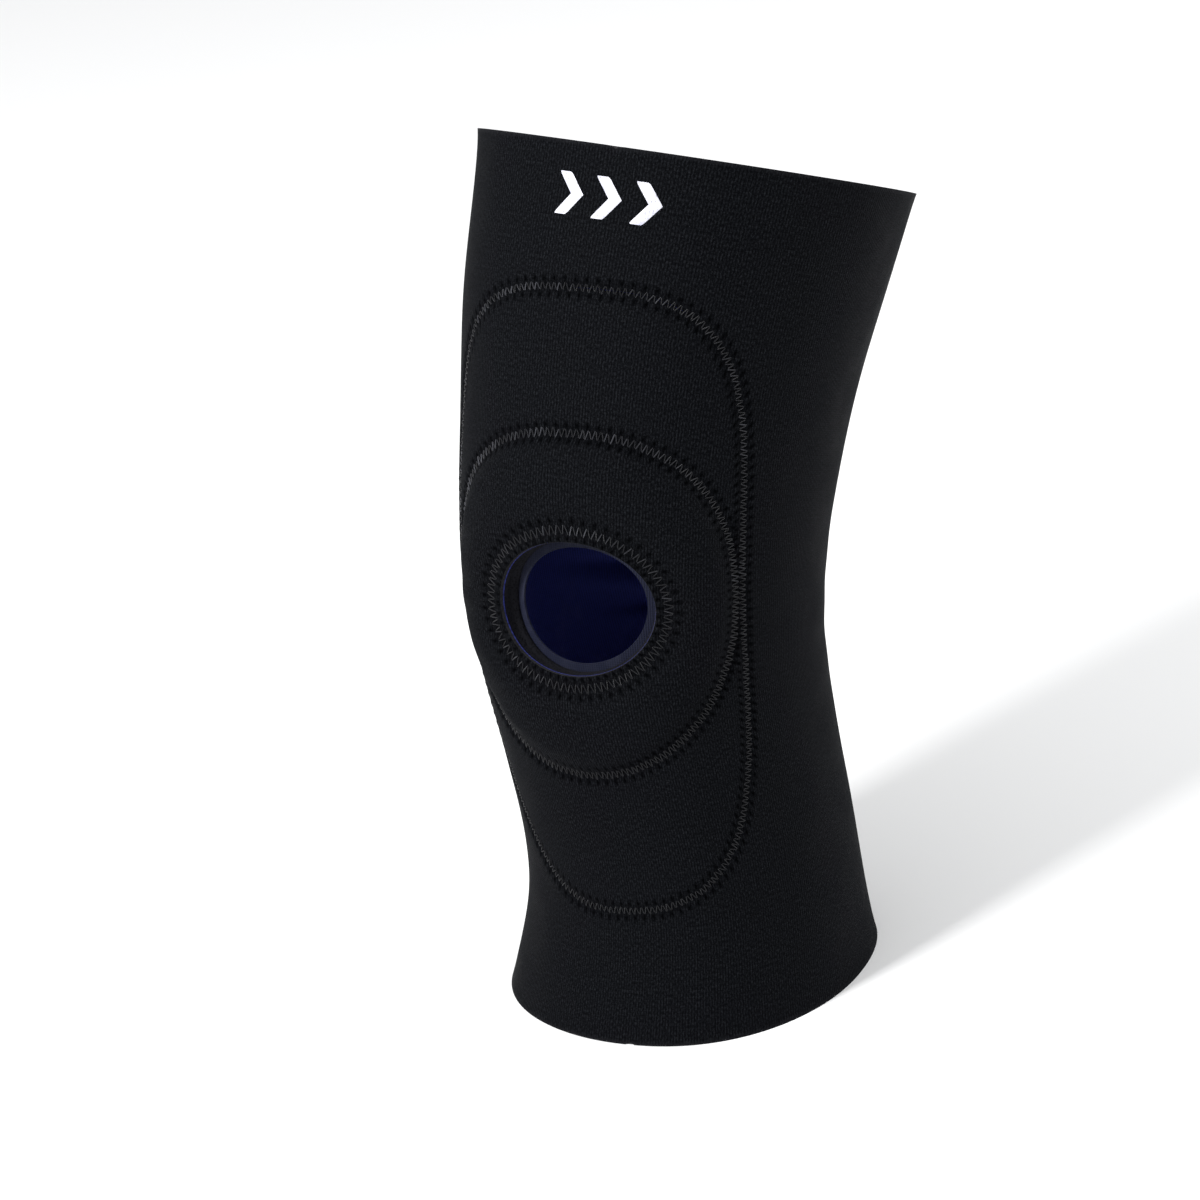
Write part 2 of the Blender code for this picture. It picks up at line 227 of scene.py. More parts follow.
def on_sleeve(across, up, depths):
    """Places in the frame of points of the flat panel, at these depths under the outer face."""
    distances = np.interp(up + OPENING_ABOVE_HEM, FRONT_LENGTHS, DISTANCES)
    angles = np.sign(across) * np.interp(np.abs(across), KNEE_LENGTHS, HALF_TURN)
    return section_points(distances, angles, depths) + OFFSET


# ---- Outlines on the flat panel ------------------------------------------------------------------------


def panel_edge():
    """The sleeve's own outline: lower hem, back seam, upper hem, back seam."""
    corners = np.array(
        [
            (-HALF_GIRTH, BOTTOM_EDGE),
            (HALF_GIRTH, BOTTOM_EDGE),
            (HALF_GIRTH, TOP_EDGE),
            (-HALF_GIRTH, TOP_EDGE),
        ]
    )
    sides = []
    for k, count in enumerate((HEM_STEPS, SIDE_STEPS, HEM_STEPS, SIDE_STEPS)):
        share = (np.arange(count) / count)[:, None]
        sides.append(corners[k] * (1 - share) + corners[(k + 1) % 4] * share)
    return np.concatenate(sides)


EDGE = panel_edge()
RAYS = np.arctan2(EDGE[:, 1], EDGE[:, 0] - OPENING_SIDE_SHIFT)


def radius_at(outline, rays):
    """The outline's radius from the middle of the opening, in each direction."""
    power = np.where(np.sin(rays) > 0, *outline["powers"])
    wide = np.abs(np.cos(rays) / outline["half_width"]) ** power
    high = np.abs(np.sin(rays) / outline["half_height"]) ** power
    return (wide + high) ** (-1 / power)


def oval(outline, grow=0.0, rays=RAYS):
    """The outline's points on the rays, grown outwards by grow."""
    radius = radius_at(outline, rays) + grow
    x = radius * np.cos(rays)
    y = radius * np.sin(rays)
    sideways_lean = OPENING_SIDE_SHIFT + outline["lean"] * y
    return np.stack([x + sideways_lean, y - outline["drop"] + ROW_TILT * x], axis=-1)


def from_middle(outline, across, up):
    """Flat points as seen from the outline's own middle, with its tilt and lean taken off."""
    tilted = up + outline["drop"]
    x = (across - OPENING_SIDE_SHIFT - outline["lean"] * tilted) / (1 - outline["lean"] * ROW_TILT)
    return x, tilted - ROW_TILT * x


def seam_offset(outline, across, up):
    """How far points of the flat panel lie outside an outline, negative inside it."""
    x, y = from_middle(outline, across, up)
    rays = np.arctan2(y, x)
    radius = radius_at(outline, rays)
    slope = (radius_at(outline, rays + 0.01) - radius_at(outline, rays - 0.01)) / 0.02
    return (np.hypot(x, y) - radius) * radius / np.hypot(radius, slope)


# ---- The padded cover, by a cloth simulation -----------------------------------------------------------


def grid_quads(rows, count, start, closed, flip):
    """Quads of a grid of rows by count points, whose first point has index start."""
    i = np.arange(count if closed else count - 1)
    j = (i + 1) % count
    quads = []
    for row in range(rows - 1):
        low, high = start + row * count, start + (row + 1) * count
        quads.append(np.stack([low + i, low + j, high + j, high + i], axis=-1))
    quads = np.concatenate(quads)
    return quads[:, ::-1] if flip else quads


PUFF_RAYS = 216
PUFF_ROWS = 25
PUFF_FRAMES = 20
PUFF_PRESSURE = 150.0
PUFF_SLACK = 0.012  # extra length of the cover between its seams
PUFF_SMOOTHING = 3
PUFF_HELD = 3  # rows held by the opening's seam


def puff_flat():
    """Flat points of the cover, rays by rows, from the opening's seam to the pad seam."""
    rays = np.arange(PUFF_RAYS) / PUFF_RAYS * 2 * math.pi - math.pi
    inner, outer = oval(OPENING, OPENING_SEAM_OFFSET - SEAM_HELD, rays), oval(PAD_SEAM, 0.0, rays)
    share = np.linspace(0, 1, PUFF_ROWS)[:, None, None]
    return inner * (1 - share) + outer * share


def puff_object(points):
    """The cover as a pinned cloth, pushed outwards by the pad's pressure."""
    mesh = bpy.data.meshes.new("cover_cloth")
    quads = grid_quads(PUFF_ROWS, PUFF_RAYS, 0, True, True)
    mesh.from_pydata(points.reshape(-1, 3).tolist(), [], quads.tolist())
    cover = bpy.data.objects.new("cover_cloth", mesh)
    bpy.context.scene.collection.objects.link(cover)
    held = [*range(PUFF_HELD * PUFF_RAYS), *range((PUFF_ROWS - 1) * PUFF_RAYS, PUFF_ROWS * PUFF_RAYS)]
    cover.vertex_groups.new(name="seams").add(held, 1.0, "REPLACE")
    cloth = cover.modifiers.new("cloth", "CLOTH")
    settings = cloth.settings
    settings.quality = 6
    settings.mass = 0.3
    settings.tension_stiffness = settings.compression_stiffness = 20
    settings.shear_stiffness = 10
    settings.bending_stiffness = 8
    settings.vertex_group_mass = "seams"
    settings.shrink_min = -PUFF_SLACK
    settings.use_pressure = True
    settings.uniform_pressure_force = PUFF_PRESSURE
    settings.effector_weights.gravity = 0
    cloth.collision_settings.use_collision = False
    cloth.point_cache.frame_start = 1
    cloth.point_cache.frame_end = PUFF_FRAMES
    return cover


def simulated_puff():
    """How far the cover rises between its seams, as a share of its highest rise, rows by rays."""
    flat = puff_flat()
    plain = on_sleeve(flat[..., 0], flat[..., 1], np.zeros(flat.shape[:2]))
    outwards = on_sleeve(flat[..., 0], flat[..., 1], np.full(flat.shape[:2], -MM)) - plain
    outwards /= np.linalg.norm(outwards, axis=-1, keepdims=True)
    cover = puff_object(plain)
    for step in range(1, PUFF_FRAMES + 1):
        bpy.context.scene.frame_set(step)
    settled = cover.evaluated_get(bpy.context.evaluated_depsgraph_get()).to_mesh()
    places = np.empty(PUFF_ROWS * PUFF_RAYS * 3, np.float32)
    settled.vertices.foreach_get("co", places)
    rise = ((places.reshape(plain.shape) - plain) * outwards).sum(axis=-1)
    bpy.data.objects.remove(cover, do_unlink=True)
    bpy.context.scene.frame_set(1)
    rise = np.clip(rise, 0, None)
    for _ in range(PUFF_SMOOTHING):
        rise = (np.roll(rise, 1, axis=1) + 2 * rise + np.roll(rise, -1, axis=1)) / 4
        rise[1:-1] = (rise[:-2] + 2 * rise[1:-1] + rise[2:]) / 4
    return rise / rise.max()


def puff_at(across, up):
    """The cover's rise at flat points, between the rows and rays of the cloth."""
    x, y = from_middle(PAD_SEAM, across, up)
    rays = np.arctan2(y, x)
    inner = radius_at(OPENING, rays) + OPENING_SEAM_OFFSET - SEAM_HELD
    outer = radius_at(PAD_SEAM, rays)
    row = np.clip((np.hypot(x, y) - inner) / (outer - inner), 0, 1) * (PUFF_ROWS - 1)
    ray = (rays + math.pi) / (2 * math.pi) * PUFF_RAYS
    low_row, low_ray = np.floor(row).astype(int), np.floor(ray).astype(int)
    high_row, high_ray = np.minimum(low_row + 1, PUFF_ROWS - 1), (low_ray + 1) % PUFF_RAYS
    low_ray %= PUFF_RAYS
    down, along = row - np.floor(row), ray - np.floor(ray)
    near = PUFF[low_row, low_ray] * (1 - along) + PUFF[low_row, high_ray] * along
    far = PUFF[high_row, low_ray] * (1 - along) + PUFF[high_row, high_ray] * along
    return near * (1 - down) + far * down


# ---- Relief of the outer face --------------------------------------------------------------------------


def dent(offset, width=CHANNEL_WIDTH):
    return np.exp(-((offset / width) ** 2))


def pad_share(across, up):
    """0 at the opening's edge and 1 at the pad seam."""
    inside = seam_offset(OPENING, across, up)
    outside = seam_offset(PAD_SEAM, across, up)
    return inside / np.maximum(inside - outside, 1e-6)


def pad_bulge(across, up):
    """How far the pad lifts the front panel."""
    share = pad_share(across, up)
    to_seam = -seam_offset(PAD_SEAM, across, up)
    filled = ease((share + 0.10) / 0.62) * ease((to_seam - SEAM_HELD) / (8.5 * MM)) ** 0.8
    return BULGE * ((1 - PUFF_PART) * filled + PUFF_PART * puff_at(across, up))


def slow_waves(across, up):
    """Soft unevenness of the worn cloth."""
    a = np.sin(across / (13 * MM) + 1.3 * np.sin(up / (31 * MM)))
    b = np.sin(up / (17 * MM) + 1.1 * np.sin(across / (23 * MM)) + 0.7)
    c = np.sin((across * 0.8 + up) / (9 * MM) + 2.1)
    return 0.16 * MM * a + 0.18 * MM * b + 0.05 * MM * c


def knee_folds(across, up):
    """Creases across the back of the knee, where the bend shortens the cloth."""
    behind = ease((np.abs(across) / HALF_GIRTH - 0.60) / 0.28)
    folds = np.zeros_like(across)
    for level, reach, height, wander, sway in FOLDS:
        drift = wander * np.sin(across / (27 * MM) + sway)
        drift += 12 * MM * (1 - np.abs(across) / HALF_GIRTH) * sway
        away = (up - level - drift) / height
        share = ease((np.abs(across) / HALF_GIRTH - reach) / 0.22)
        folds += share * (np.exp(-(away**2)) - 0.85 * np.exp(-(((away - 1.5) * 1.15) ** 2)))
    return 1.25 * MM * behind * folds


def back_edge_offset(across):
    return HALF_GIRTH - np.abs(across)


def puckers(along, offset, strength=1.0):
    """Scallops beside a seam, drawn in by every stitch and swelling between them."""
    near = np.exp(-(((np.abs(offset) - PUCKER_OFFSET) / (1.1 * MM)) ** 2))
    side = np.where(offset > 0, 0.0, math.pi)
    beat = np.cos(2 * math.pi * along / PUCKER_PITCH + side)
    uneven = 0.8 + 0.35 * np.sin(along / (11 * MM)) * np.sin(along / (4.3 * MM) + 1)
    return strength * 0.26 * MM * near * (beat - 0.25) * uneven


def hem_wave(across, up):
    """The cut hems turn out a little and don't lie quite round."""
    turn = math.pi * across / HALF_GIRTH
    to_top, to_bottom = TOP_EDGE - up, up - BOTTOM_EDGE
    top = np.exp(-to_top / (5 * MM)) + 1.6 * np.exp(-to_top / (22 * MM)) * np.sin(5 * turn + 0.6)
    low = np.exp(-to_bottom / (5 * MM)) + 1.3 * np.exp(-to_bottom / (18 * MM)) * np.sin(4 * turn)
    return 0.5 * MM * (top + low)


def tension_lines(across, up):
    """Faint pulls that run slanting from the pad towards the back of the knee."""
    round_leg = np.abs(across) / HALF_GIRTH
    side = ease((round_leg - 0.30) / 0.12) * ease((0.78 - round_leg) / 0.3)
    height = up + 0.16 * (np.abs(across) - 60 * MM) + 5 * MM
    spread = np.exp(-((height / (46 * MM)) ** 2))
    pulls = np.sin(height / (5.2 * MM) + 1.2 * np.sin(across / (37 * MM)) + np.sign(across))
    return 0.22 * MM * side * spread * pulls


def body_relief(across, up):
    """What lifts the whole laminate outwards."""
    lifted = slow_waves(across, up) + knee_folds(across, up)
    lifted = lifted + hem_wave(across, up) + tension_lines(across, up)
    return lifted + np.where(seam_offset(PAD_SEAM, across, up) < 0, pad_bulge(across, up), 0.0)


def press(across, up):
    """How deep the seams press into each side of the laminate."""
    window = seam_offset(WINDOW, across, up)
    pad = seam_offset(PAD_SEAM, across, up)
    ring = seam_offset(OPENING, across, up) - OPENING_SEAM_OFFSET
    back = back_edge_offset(across)
    pressed = 0.62 * MM * dent(window) + 0.75 * MM * dent(pad) + 0.55 * MM * dent(ring)
    pressed += 0.55 * MM * dent(back)
    swell = puckers(seam_lengths(WINDOW, 0.0, across, up), window)
    swell += puckers(seam_lengths(PAD_SEAM, 0.0, across, up), pad)
    swell += puckers(seam_lengths(OPENING, OPENING_SEAM_OFFSET, across, up), ring, 1.2)
    swell += puckers(up, back, 0.8)
    return pressed - swell


def face_depth(across, up):
    """Depth of the outer face: negative where it stands out from the plain tube."""
    return press(across, up) - body_relief(across, up)


def laminate_thickness(across, up):
    """The whole laminate's thickness, pressed thin along the opening."""
    near = 1 - ease(seam_offset(OPENING, across, up) / PRESSED_WIDTH)
    return LAMINATE - (LAMINATE - EDGE_LAMINATE) * near - 1.4 * press(across, up)


def inner_depth(across, up):
    """Depth of the laminate's inner face."""
    return face_depth(across, up) + laminate_thickness(across, up)


# ---- Meshes --------------------------------------------------------------------------------------------


def shell_mesh(name, outer, inner, closed, attributes):
    """A closed solid between two grids of points, each rows by count, with point attributes for both."""
    rows, count = outer.shape[:2]
    size = rows * count
    faces = [
        grid_quads(rows, count, 0, closed, False),
        grid_quads(rows, count, size, closed, True),
    ]
    i = np.arange(count if closed else count - 1)
    j = (i + 1) % count
    first, last = 0, (rows - 1) * count
    faces.append(np.stack([first + j, first + i, size + first + i, size + first + j], axis=-1))
    faces.append(np.stack([last + i, last + j, size + last + j, size + last + i], axis=-1))
    if not closed:
        r = np.arange(rows - 1) * count
        end = count - 1
        faces.append(np.stack([r, r + count, size + r + count, size + r], axis=-1))
        faces.append(np.stack([r + count + end, r + end, size + r + end, size + r + count + end], axis=-1))
    points = np.concatenate([outer.reshape(-1, 3), inner.reshape(-1, 3)])
    mesh = bpy.data.meshes.new(name)
    mesh.from_pydata(points.tolist(), [], np.concatenate(faces).tolist())
    for label, values in attributes.items():
        both = np.concatenate([values.reshape(-1, 3)] * 2).astype(np.float32)
        layer = mesh.attributes.new(label, "FLOAT_VECTOR", "POINT")
        layer.data.foreach_set("vector", both.ravel())
    return mesh


def add_piece(name, mesh, material, slot, *nodes):
    """Adds the mesh as a piece of the object that stands for these CAD nodes."""
    mesh.update()
    mesh.shade_smooth()
    mesh.set_sharp_from_angle(angle=SHARP_EDGE)
    mesh.materials.append(material)
    piece = bpy.data.objects.new(name, mesh)
    bpy.context.scene.collection.objects.link(piece)
    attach(piece, "root")
    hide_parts(*nodes)
    return piece


def seam_lengths(outline, grow, across, up):
    """The length along an outline nearest each flat point, for the stitch pattern."""
    rays = np.linspace(-math.pi, math.pi, OUTLINE_RAYS)
    lengths = path_lengths(oval(outline, grow, rays))
    x, y = from_middle(outline, across, up)
    return np.interp(np.arctan2(y, x), rays, lengths)


def cloth_attributes(flat):
    """Flat place, and place beside each seam, of a grid of flat points, in millimetres."""
    across, up = flat[..., 0], flat[..., 1]
    zero = np.zeros_like(across)
    hem = np.minimum(TOP_EDGE - up, up - BOTTOM_EDGE)
    found = {"cloth": np.stack([across, up, hem], axis=-1) / MM}
    seams = {"window_seam": (WINDOW, 0.0), "pad_seam": (PAD_SEAM, 0.0)}
    seams["opening_seam"] = (OPENING, OPENING_SEAM_OFFSET)
    for label, (outline, grow) in seams.items():
        along = seam_lengths(outline, grow, across, up)
        offset = seam_offset(outline, across, up) - grow
        found[label] = np.stack([along, offset, zero], axis=-1) / MM
    found["back_seam"] = np.stack([up, back_edge_offset(across), zero], axis=-1) / MM
    return found


def notched(flat):
    """Cuts a small V in both hems on the front line, where the panel was folded to mark its middle."""
    across, up = flat[..., 0], flat[..., 1]
    depth = 1.3 * MM * np.clip(1 - np.abs(across) / (1.6 * MM), 0, 1)
    near_top = ease(1 - (TOP_EDGE - up) / (10 * MM))
    near_bottom = ease(1 - (up - BOTTOM_EDGE) / (10 * MM))
    return np.stack([across, up - depth * near_top + depth * near_bottom], axis=-1)


def front_grid():
    """The front panel's rows of flat points, from the opening to the window."""
    rows = [oval(OPENING, g * MM) for g in (0.0, 0.25, 0.6, 1.1, 1.7, 2.4, 3.1, 3.8, 4.5, 5.2, 5.9, 6.8)]
    inner, outer = rows[-1], oval(PAD_SEAM, -5.0 * MM)
    rows += [inner + (outer - inner) * s for s in np.linspace(0, 1, 15)[1:]]
    rows += [oval(PAD_SEAM, g * MM) for g in (-4.0, -3.1, -2.3, -1.6, -1.0, -0.5, 0.0, 0.5, 1.0, 1.5, 2.0)]
    inner, outer = rows[-1], oval(WINDOW, -PANEL_GAP / 2)
    rows += [inner + (outer - inner) * s for s in ease(np.linspace(0, 1, 18))[1:]]
    return np.array(rows)


def wrap_grid():
    """The wrap's rows of flat points, from the window to the hems and the back seam."""
    rows = [oval(WINDOW, PANEL_GAP / 2 + g * MM) for g in (0.0, 0.5, 1.0, 1.6, 2.2, 2.8, 3.4, 4.1, 5.0)]
    inner = rows[-1]
    shares = np.linspace(0, 1, 46)[1:] ** 0.94
    rows += [inner + (EDGE - inner) * s for s in shares]
    return notched(np.array(rows))


def coarser(grid, rays=2, rows=2):
    """Every second row and ray of a grid, with its first and last rows kept."""
    kept = sorted(set(range(0, len(grid), rows)) | {len(grid) - 1})
    return grid[kept][:, ::rays]


def rolled_edge(depths, edge_rows):
    """Turns the cut edge of the face down over a few rows."""
    depths = depths.copy()
    for k, drop in enumerate(edge_rows):
        depths[k] += drop * MM
    return depths


def build_face(name, grid, edge_rows, material, node):
    across, up = grid[..., 0], grid[..., 1]
    depths = rolled_edge(face_depth(across, up), edge_rows)
    mesh = shell_mesh(
        name,
        on_sleeve(across, up, depths),
        on_sleeve(across, up, depths + FACE),
        True,
        cloth_attributes(grid),
    )
    return add_piece(name, mesh, material, "black_nylon", node)


def build_core(name, grid, material, node):
    across, up = grid[..., 0], grid[..., 1]
    start = face_depth(across, up) + FACE
    thickness = laminate_thickness(across, up) - FACE - LINING
    mesh = shell_mesh(
        name,
        on_sleeve(across, up, start),
        on_sleeve(across, up, start + thickness),
        True,
        {"cloth": cloth_attributes(grid)["cloth"]},
    )
    return add_piece(name, mesh, material, "neoprene", node)


def build_lining(name, grid, material, node):
    across, up = grid[..., 0], grid[..., 1]
    start = inner_depth(across, up) - LINING
    mesh = shell_mesh(
        name,
        on_sleeve(across, up, start),
        on_sleeve(across, up, start + LINING),
        True,
        cloth_attributes(grid),
    )
    return add_piece(name, mesh, material, "blue_lining", node)


# ---- Pad and backing -----------------------------------------------------------------------------------


def pad_far_depth(across, up):
    """Depth of the pad's inner side."""
    to_seam = -seam_offset(PAD_SEAM, across, up)
    return PAD_EDGE_DEPTH + (PAD_DEPTH - PAD_EDGE_DEPTH) * ease((to_seam + 2 * MM) / (22 * MM))


def backing_depth(across, up):
    """Depth of the backing's outer side: on the pad, then on the laminate past the pad."""
    past_pad = ease((seam_offset(PAD_SEAM, across, up) + PAD_SEAM_REACH) / PAD_SEAM_REACH)
    return pad_far_depth(across, up) * (1 - past_pad) + inner_depth(across, up) * past_pad


def backing_inner_depth(across, up):
    return backing_depth(across, up) + BACKING


def build_pad(material):
    """The foam ring: crowned on its outer side by the bulge, with rounded walls."""
    rays = RAYS[::2]
    rows = [oval(OPENING, g * MM, rays) for g in (0.7, 0.45, 0.4, 0.45, 0.8, 1.5, 2.6, 4.0, 6.0)]
    inner, outer = rows[-1], oval(PAD_SEAM, -6 * MM, rays)
    rows += [inner + (outer - inner) * s for s in np.linspace(0, 1, 14)[1:]]
    rows += [oval(PAD_SEAM, g * MM, rays) for g in (-4.6, -3.4, -2.6, -2.2)]
    grid = np.array(rows)
    across, up = grid[..., 0], grid[..., 1]
    near, far = inner_depth(across, up), pad_far_depth(across, up)
    for k, share in ((0, 0.45), (1, 0.3), (2, 0.18), (3, 0.08), (4, 0.02), (-1, 0.3)):
        rounding = (far[k] - near[k]) * share
        near[k], far[k] = near[k] + rounding, far[k] - rounding
    mesh = shell_mesh(
        "buttress_pad",
        on_sleeve(across, up, near),
        on_sleeve(across, up, far),
        True,
        {"cloth": cloth_attributes(grid)["cloth"]},
    )
    return add_piece("buttress_pad", mesh, material, "pad_foam", "patella_buttress_pad")


# ---- Stitches ------------------------------------------------------------------------------------------

CHANCE = np.random.default_rng(7)


def even_path(points, step):
    """A closed path's points at even steps close to step long, an even number of them."""
    points = np.concatenate([points, points[:1]])
    lengths = path_lengths(points)
    count = max(2, 2 * round(lengths[-1] / step / 2))
    stops = np.linspace(0, lengths[-1], count + 1)[:-1]
    return np.stack([np.interp(stops, lengths, points[:, k]) for k in range(2)], axis=-1)


def sideways(points):
    """The unit direction across a closed path at each point, on the flat panel."""
    along = np.roll(points, -1, axis=0) - np.roll(points, 1, axis=0)
    along /= np.linalg.norm(along, axis=1, keepdims=True)
    return np.stack([along[:, 1], -along[:, 0]], axis=-1)


def zigzag(points, width, height, sink, surface):
    """A thread's centre line: needle hole to needle hole across the seam, standing up between them."""
    side = sideways(points)
    sway = CHANCE.normal(0, UNEVEN_STITCH, (len(points), 2))
    swing = np.where(np.arange(len(points)) % 2 == 0, 0.5, -0.5) * width + sway[:, 0]
    holes = points + side * swing[:, None] + side[:, ::-1] * (-1, 1) * sway[:, 1:]
    following = np.roll(holes, -1, axis=0)
    share = np.arange(LEG_POINTS) / LEG_POINTS
    flat = holes[:, None] * (1 - share[None, :, None]) + following[:, None] * share[None, :, None]
    flat = flat.reshape(-1, 2)
    arch = np.sin(math.pi * np.tile(share, len(holes))) ** ARCH_POWER
    slack = CHANCE.uniform(0.6, 1.0, len(holes)) * np.where(np.arange(len(holes)) % 2 == 0, 1.0, 0.4)
    depth = surface(flat[:, 0], flat[:, 1]) + sink - (sink + height * np.repeat(slack, LEG_POINTS)) * arch
    return on_sleeve(flat[:, 0], flat[:, 1], depth)


def tube_mesh(name, line, radius, closed, sides=6):
    """A round tube along a line of points, with each point's length, turn and stitch leg as an attribute."""
    if closed:
        along = np.roll(line, -1, axis=0) - np.roll(line, 1, axis=0)
    else:
        along = np.gradient(line, axis=0)
    along /= np.linalg.norm(along, axis=1, keepdims=True)
    out = line - np.array([0.0, 0.0, 1.0]) * line[:, 2:]
    out[:, :2] -= OFFSET[:2]
    out[:, 2] = 0
    first = np.cross(along, out)
    first /= np.linalg.norm(first, axis=1, keepdims=True)
    second = np.cross(first, along)
    turns = np.arange(sides) / sides * 2 * math.pi
    ring = first[:, None] * np.cos(turns)[None, :, None] + second[:, None] * np.sin(turns)[None, :, None]
    points = (line[:, None] + ring * radius).reshape(-1, 3)
    count = len(line)
    row = np.arange(count if closed else count - 1)
    following = (row + 1) % count
    quads = []
    for k in range(sides):
        n = (k + 1) % sides
        corners = [row * sides + k, following * sides + k, following * sides + n, row * sides + n]
        quads.append(np.stack(corners, axis=-1))
    faces = np.concatenate(quads).tolist()
    if not closed:
        faces.append(list(range(sides)))
        faces.append([(count - 1) * sides + k for k in range(sides)][::-1])
    mesh = bpy.data.meshes.new(name)
    mesh.from_pydata(points.tolist(), [], faces)
    lengths = path_lengths(line) / MM
    legs = np.arange(count) // LEG_POINTS
    twist = np.stack([np.repeat(lengths, sides), np.tile(turns, count), np.repeat(legs, sides)], axis=-1)
    layer = mesh.attributes.new("strand", "FLOAT_VECTOR", "POINT")
    layer.data.foreach_set("vector", twist.astype(np.float32).ravel())
    return mesh


def build_thread(name, node, path, pitch, width, surface, material):
    """One ring seam's needle thread on the face, or its looper thread on an inner surface."""
    sign = 1 if surface is face_depth else -1
    line = zigzag(even_path(path, pitch / 2), width, sign * STANDING, sign * SUNK, surface)
    add_piece(name, tube_mesh(name, line, THREAD_RADIUS, True), material, "black_thread", node)


# ---- Printed badge -------------------------------------------------------------------------------------


def build_chevron(name, node, place, material):
    """One printed chevron with rounded corners, raised a little from the cloth."""
    up = np.linspace(-0.5, 0.5, 41)
    blunt = np.sqrt(np.clip(1 - (np.abs(up) * 2) ** 14, 0, 1))
    tip = place * BADGE_PITCH + BADGE_POINT * (0.5 - np.abs(up) * 2)
    side = np.linspace(-0.5, 0.5, 15)
    across = tip[:, None] + side[None, :] * (BADGE_STROKE * (0.82 + 0.18 * blunt))[:, None]
    middle = TOP_EDGE - BADGE_BELOW_TOP_HEM
    ups = np.repeat((middle + up * BADGE_HEIGHT)[:, None], len(side), axis=1)
    round_over = 0.12 * MM * (np.abs(side) * 2) ** 8
    top = face_depth(across, ups) - BADGE_THICKNESS + round_over[None, :]
    mesh = shell_mesh(
        name,
        on_sleeve(across, ups, top),
        on_sleeve(across, ups, face_depth(across, ups) + 0.05 * MM),
        False,
        {"cloth": np.stack([across, ups, np.zeros_like(ups)], axis=-1) / MM},
    )
    add_piece(name, mesh, material, "silver_print", node)


# ---- Materials -----------------------------------------------------------------------------------------


class Nodes:
    """Short calls for building one material's node tree."""

    def __init__(self, name):
        self.material = bpy.data.materials.new(name)
        self.material.use_nodes = True
        self.tree = self.material.node_tree
        self.shader = self.tree.nodes["Principled BSDF"]

    def add(self, kind, **settings):
        node = self.tree.nodes.new(kind)
        for key, value in settings.items():
            setattr(node, key, value)
        return node

    def put(self, socket, value):
        if isinstance(value, bpy.types.NodeSocket):
            self.tree.links.new(value, socket)
        else:
            socket.default_value = value

    def math(self, operation, a, b=0.0):
        node = self.add("ShaderNodeMath", operation=operation)
        for socket, value in zip(node.inputs, (a, b)):
            self.put(socket, value)
        return node.outputs[0]

    def attribute(self, name):
        """The three values of a point attribute."""
        node = self.add("ShaderNodeAttribute", attribute_name=name)
        split = self.add("ShaderNodeSeparateXYZ")
        self.put(split.inputs[0], node.outputs["Vector"])
        return split.outputs[0], split.outputs[1], split.outputs[2]

    def noise(self, scale, detail=2.0, roughness=0.5, vector=None):
        node = self.add("ShaderNodeTexNoise")
        node.inputs["Scale"].default_value = scale
        node.inputs["Detail"].default_value = detail
        node.inputs["Roughness"].default_value = roughness
        if vector is None:
            vector = self.add("ShaderNodeTexCoord").outputs["Object"]
        self.put(node.inputs["Vector"], vector)
        return node.outputs["Fac"]

    def ramp(self, value, low, high, out_low=0.0, out_high=1.0):
        node = self.add("ShaderNodeMapRange")
        keys = ("From Min", "From Max", "To Min", "To Max")
        for key, number in zip(keys, (low, high, out_low, out_high)):
            node.inputs[key].default_value = number
        self.put(node.inputs["Value"], value)
        return node.outputs[0]

    def mix(self, share, a, b):
        node = self.add("ShaderNodeMix", data_type="RGBA")
        self.put(node.inputs["Factor"], share)
        for socket, colour in ((node.inputs[6], a), (node.inputs[7], b)):
            linked = isinstance(colour, bpy.types.NodeSocket)
            self.put(socket, colour if linked else (*colour, 1.0))
        return node.outputs[2]

    def bump(self, height, distance, strength=1.0, normal=None):
        node = self.add("ShaderNodeBump")
        node.inputs["Distance"].default_value = distance
        node.inputs["Strength"].default_value = strength
        self.put(node.inputs["Height"], height)
        if normal is not None:
            self.put(node.inputs["Normal"], normal)
        return node.outputs["Normal"]

    def finish(self, **inputs):
        for key, value in inputs.items():
            self.put(self.shader.inputs[key.replace("_", " ").title()], value)
        return self.material


def jersey_height(n, x, y, wale, course):
    """Height of a knitted face: upright wales made of small V-shaped loops, from places in millimetres."""
    across = n.math("ABSOLUTE", n.math("SUBTRACT", n.math("FRACT", n.math("DIVIDE", x, wale)), 0.5))
    ridge = n.math("SUBTRACT", 1.0, n.math("POWER", n.math("MULTIPLY", across, 2.0), 2.0))
    slant = n.math("MULTIPLY", across, 0.9 * wale)
    loops = n.math("SINE", n.math("MULTIPLY", n.math("ADD", y, slant), 2 * math.pi / course))
    return n.math("ADD", ridge, n.math("MULTIPLY", n.math("MULTIPLY", loops, 0.3), ridge))


def stitch_pits(n, seam, reach):
    """1 in the drawn-in hollows beside a seam, in two rows that are half a pitch apart."""
    along, offset, _ = n.attribute(seam)
    pits = None
    pitch = PUCKER_PITCH / MM
    for sign, phase in ((1.0, 0.0), (-1.0, 0.5)):
        step = n.math("FRACT", n.math("ADD", n.math("DIVIDE", along, pitch), phase))
        run = n.math("MULTIPLY", n.math("SUBTRACT", step, 0.5), pitch)
        off = n.math("MULTIPLY", n.math("SUBTRACT", offset, sign * reach), 0.6)
        squared = n.math("ADD", n.math("MULTIPLY", run, run), n.math("MULTIPLY", off, off))
        pit = n.ramp(n.math("SQRT", squared), 0.1, 1.15, 1.0, 0.0)
        pits = pit if pits is None else n.math("MAXIMUM", pits, pit)
    return pits


